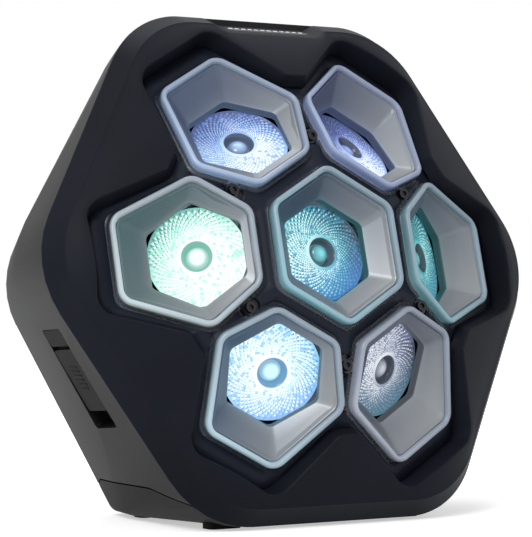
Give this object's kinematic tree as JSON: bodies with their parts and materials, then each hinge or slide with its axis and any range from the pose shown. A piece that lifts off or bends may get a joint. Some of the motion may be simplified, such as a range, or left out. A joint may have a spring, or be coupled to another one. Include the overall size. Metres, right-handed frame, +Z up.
{
  "type": "led party light",
  "caption": "Battery party light with splayed hexagonal lens cells behind a clear domed cover, in a hexagonal housing that leans back on a flat base.",
  "frame": {"origin": "centre of the bounding box in X and Y, on the surface that the rubber pads stand on", "axes": "+X to the right as seen from the front, +Y towards the rear wall, +Z up; the light shines towards -Y"},
  "size_m": [0.2576, 0.1132, 0.2283],
  "materials": {
    "bezel_plastic": "satin charcoal",
    "shell_plastic": "satin black",
    "cradle_plastic": "matt black",
    "clear_plastic": "clear polished",
    "chassis_plastic": "gloss navy black",
    "reflector_film": "satin silver",
    "lens_acrylic": "clear polished",
    "led_board_white": "white solder mask",
    "sink_aluminium": "bare extruded",
    "screw_steel": "plated",
    "port_steel": "plated",
    "circuit_board": "green solder mask",
    "battery_wrap": "shrink wrap",
    "strip_plastic": "gloss black",
    "flap_rubber": "matt",
    "pad_rubber": "matt",
    "button_rubber": "matt"
  },
  "bodies": {
    "housing": {"front_bezel": "bezel_plastic", "top_strip": "strip_plastic", "front_cover": "clear_plastic", "chassis_panel": "chassis_plastic", "heat_sink": "sink_aluminium", "reflector_center": "reflector_film", "reflector_right": "reflector_film", "reflector_upper_right": "reflector_film", "reflector_upper_left": "reflector_film", "reflector_left": "reflector_film", "reflector_lower_left": "reflector_film", "reflector_lower_right": "reflector_film", "lens_center": "lens_acrylic", "lens_right": "lens_acrylic", "lens_upper_right": "lens_acrylic", "lens_upper_left": "lens_acrylic", "lens_left": "lens_acrylic", "lens_lower_left": "lens_acrylic", "lens_lower_right": "lens_acrylic", "led_board_center": "led_board_white", "led_board_right": "led_board_white", "led_board_upper_right": "led_board_white", "led_board_upper_left": "led_board_white", "led_board_left": "led_board_white", "led_board_lower_left": "led_board_white", "led_board_lower_right": "led_board_white", "cover_screw_1": "screw_steel", "cover_screw_2": "screw_steel", "cover_screw_3": "screw_steel", "cover_screw_4": "screw_steel", "cover_screw_5": "screw_steel", "cover_screw_6": "screw_steel", "rear_shell": "shell_plastic", "base_cradle": "cradle_plastic", "foot_pad_front_left": "pad_rubber", "foot_pad_front_right": "pad_rubber", "foot_pad_rear_left": "pad_rubber", "foot_pad_rear_right": "pad_rubber", "control_panel": "cradle_plastic", "control_board": "circuit_board", "battery_pack": "battery_wrap", "housing_screw_1": "screw_steel", "housing_screw_2": "screw_steel", "housing_screw_3": "screw_steel", "housing_screw_4": "screw_steel", "usb_port": "port_steel", "port_board": "circuit_board", "flap_anchor": "flap_rubber"},
    "flap": {"port_flap": "flap_rubber"},
    "power": {"power_button": "button_rubber"},
    "color": {"color_button": "button_rubber"},
    "pattern": {"pattern_button": "button_rubber"}
  },
  "joints": [
    {"name": "flap_hinge", "type": "hinge", "parent": "housing", "child": "flap", "pos_m": [-0.11118, 0.0031, 0.07811], "axis": [0.1218, 0.9908, -0.0589], "range_deg": [0, 100]},
    {"name": "power_press", "type": "slide", "parent": "housing", "child": "power", "axis": [0, -1, 0], "range_m": [0, 0.001], "stiffness_N_per_m": 400},
    {"name": "color_press", "type": "slide", "parent": "housing", "child": "color", "axis": [0, -1, 0], "range_m": [0, 0.001], "stiffness_N_per_m": 400},
    {"name": "pattern_press", "type": "slide", "parent": "housing", "child": "pattern", "axis": [0, -1, 0], "range_m": [0, 0.001], "stiffness_N_per_m": 400}
  ]
}
